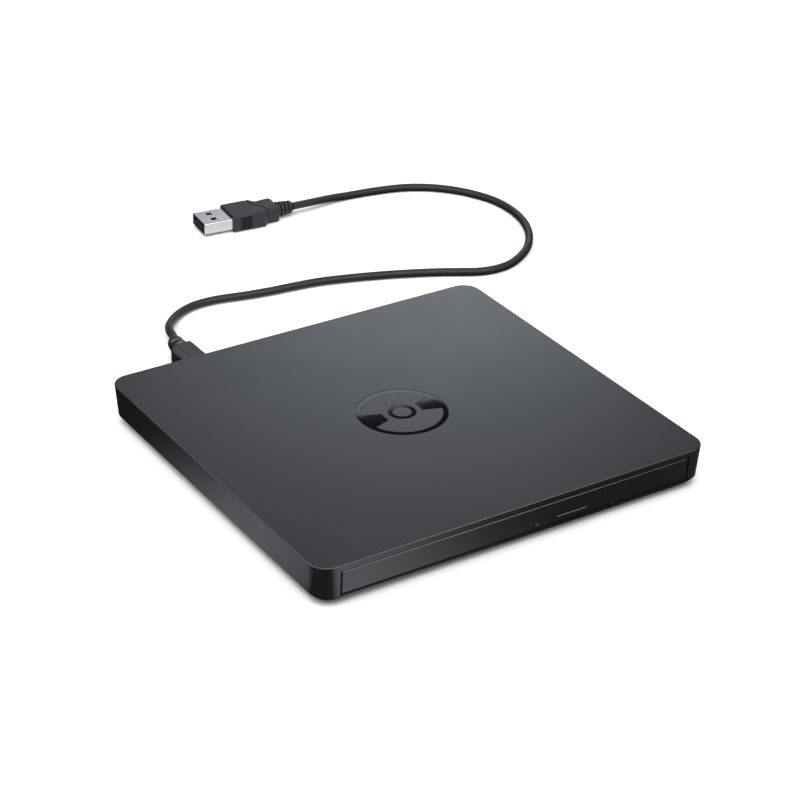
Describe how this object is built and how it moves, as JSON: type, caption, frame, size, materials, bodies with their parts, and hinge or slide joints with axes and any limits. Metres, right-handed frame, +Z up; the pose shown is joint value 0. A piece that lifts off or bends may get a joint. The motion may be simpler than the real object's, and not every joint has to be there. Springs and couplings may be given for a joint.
{
  "type": "external optical drive",
  "caption": "Slim square external optical disc drive with a front drawer, round inlaid emblem, rubber feet and a short cable to a USB-A plug.",
  "frame": {"origin": "centre of the drive's footprint on the table, under its feet", "axes": "+X to the right along the front, +Y from the drawer to the rear plug, +Z up"},
  "size_m": [0.2102, 0.2572, 0.014],
  "materials": {
    "case_black": "satin black-grey moulded plastic",
    "base_black": "fine matt texture",
    "gloss_black": "polished black inlay",
    "bezel_black": "semi-gloss moulded plastic",
    "tray_black": "matt moulded plastic",
    "alloy": "stamped alloy",
    "steel": "zinc-plated sheet steel",
    "plug_metal": "bright nickel plate",
    "rubber": "matt rubber",
    "cord_black": "satin PVC jacket",
    "plug_grey": "matt overmould",
    "circuit_green": "solder mask",
    "chip_black": "epoxy package",
    "white_plastic": "natural nylon",
    "lamp_plastic": "clear light pipe",
    "flex_amber": "polyimide film",
    "lens_glass": "polished lens"
  },
  "bodies": {
    "case": {"top_cover": "case_black", "emblem_ring": "gloss_black", "emblem_hub": "gloss_black", "bottom_cover": "base_black", "foot_front_left": "rubber", "case_screw_front_left": "steel", "foot_front_right": "rubber", "case_screw_front_right": "steel", "foot_rear_left": "rubber", "case_screw_rear_left": "steel", "foot_rear_right": "rubber", "case_screw_rear_right": "steel", "bridge_board": "circuit_green", "bridge_chip": "chip_black", "usb_socket_shell": "steel", "usb_socket_tongue": "tray_black", "sata_connector": "tray_black", "drive_base": "steel", "drive_lid": "steel", "drive_board": "circuit_green", "eject_pusher": "white_plastic", "lock_post": "steel", "flex_cable": "flex_amber", "rail_channel_left": "steel", "rail_channel_right": "steel"},
    "rails": {"slide_rail_left": "white_plastic", "slide_rail_right": "white_plastic"},
    "tray": {"disc_tray": "tray_black", "tray_bezel": "bezel_black", "tray_under_cover": "alloy", "lamp_lens": "lamp_plastic", "button_switch": "tray_black", "eject_solenoid": "steel", "lock_pivot": "steel", "spindle_motor": "alloy", "traverse_frame": "steel", "guide_rod_inner": "steel", "guide_rod_outer": "steel", "feed_motor": "alloy", "damper_1": "rubber", "damper_2": "rubber", "damper_3": "rubber"},
    "spindle": {"turntable": "tray_black"},
    "jaw_1": {"chuck_jaw_1": "white_plastic"},
    "jaw_2": {"chuck_jaw_2": "white_plastic"},
    "jaw_3": {"chuck_jaw_3": "white_plastic"},
    "sled": {"pickup_sled": "alloy"},
    "lens": {"lens_holder": "tray_black", "objective_lens": "lens_glass"},
    "feed_screw": {"lead_screw": "steel"},
    "button": {"eject_button": "bezel_black"},
    "lock": {"lock_lever": "white_plastic"},
    "cable": {"device_plug_body": "plug_grey", "device_plug_shell": "plug_metal", "device_relief": "plug_grey", "cord": "cord_black", "host_plug_shell": "plug_metal", "host_plug_tongue": "tray_black", "host_plug_body": "plug_grey", "host_relief": "plug_grey"}
  },
  "joints": [
    {"name": "tray_slide", "type": "slide", "parent": "case", "child": "tray", "axis": [0, -1, 0], "range_m": [0, 0.124]},
    {"name": "rails_slide", "type": "slide", "parent": "case", "child": "rails", "axis": [0, -1, 0], "range_m": [0, 0.062]},
    {"name": "eject_button_press", "type": "slide", "parent": "tray", "child": "button", "axis": [0, 1, 0], "range_m": [0, 0.0006], "stiffness_N_per_m": 500},
    {"name": "spindle_spin", "type": "hinge", "parent": "tray", "child": "spindle", "pos_m": [0, -0.0035, 0.008], "axis": [0, 0, 1], "continuous": true},
    {"name": "jaw_1_press", "type": "slide", "parent": "spindle", "child": "jaw_1", "axis": [0.7071, 0.7071, 0], "range_m": [0, 0.0004], "stiffness_N_per_m": 300},
    {"name": "jaw_2_press", "type": "slide", "parent": "spindle", "child": "jaw_2", "axis": [-0.9659, 0.2588, 0], "range_m": [0, 0.0004], "stiffness_N_per_m": 300},
    {"name": "jaw_3_press", "type": "slide", "parent": "spindle", "child": "jaw_3", "axis": [0.2588, -0.9659, 0], "range_m": [0, 0.0004], "stiffness_N_per_m": 300},
    {"name": "sled_slide", "type": "slide", "parent": "tray", "child": "sled", "axis": [-0.7071, -0.7071, 0], "range_m": [0, 0.031]},
    {"name": "lens_focus", "type": "slide", "parent": "sled", "child": "lens", "axis": [0, 0, 1], "range_m": [-0.0004, 0.0004], "stiffness_N_per_m": 60},
    {"name": "lead_screw_spin", "type": "hinge", "parent": "tray", "child": "feed_screw", "pos_m": [-0.0157, 0.0122, 0.0062], "axis": [-0.7071, -0.7071, 0], "range_deg": [0, 3730]},
    {"name": "lock_lever_swing", "type": "hinge", "parent": "tray", "child": "lock", "pos_m": [0.0425, -0.046, 0.0065], "axis": [0, 0, 1], "range_deg": [0, 12]},
    {"name": "cable_pull", "type": "slide", "parent": "case", "child": "cable", "axis": [0, 1, 0], "range_m": [0, 0.01]}
  ],
  "couplings": [
    {"joint": "rails_slide", "follows": "tray_slide", "ratio": 0.5},
    {"joint": "lead_screw_spin", "follows": "sled_slide", "rad_per_m": 2094.4},
    {"joint": "jaw_2_press", "follows": "jaw_1_press", "ratio": 1},
    {"joint": "jaw_3_press", "follows": "jaw_1_press", "ratio": 1}
  ]
}
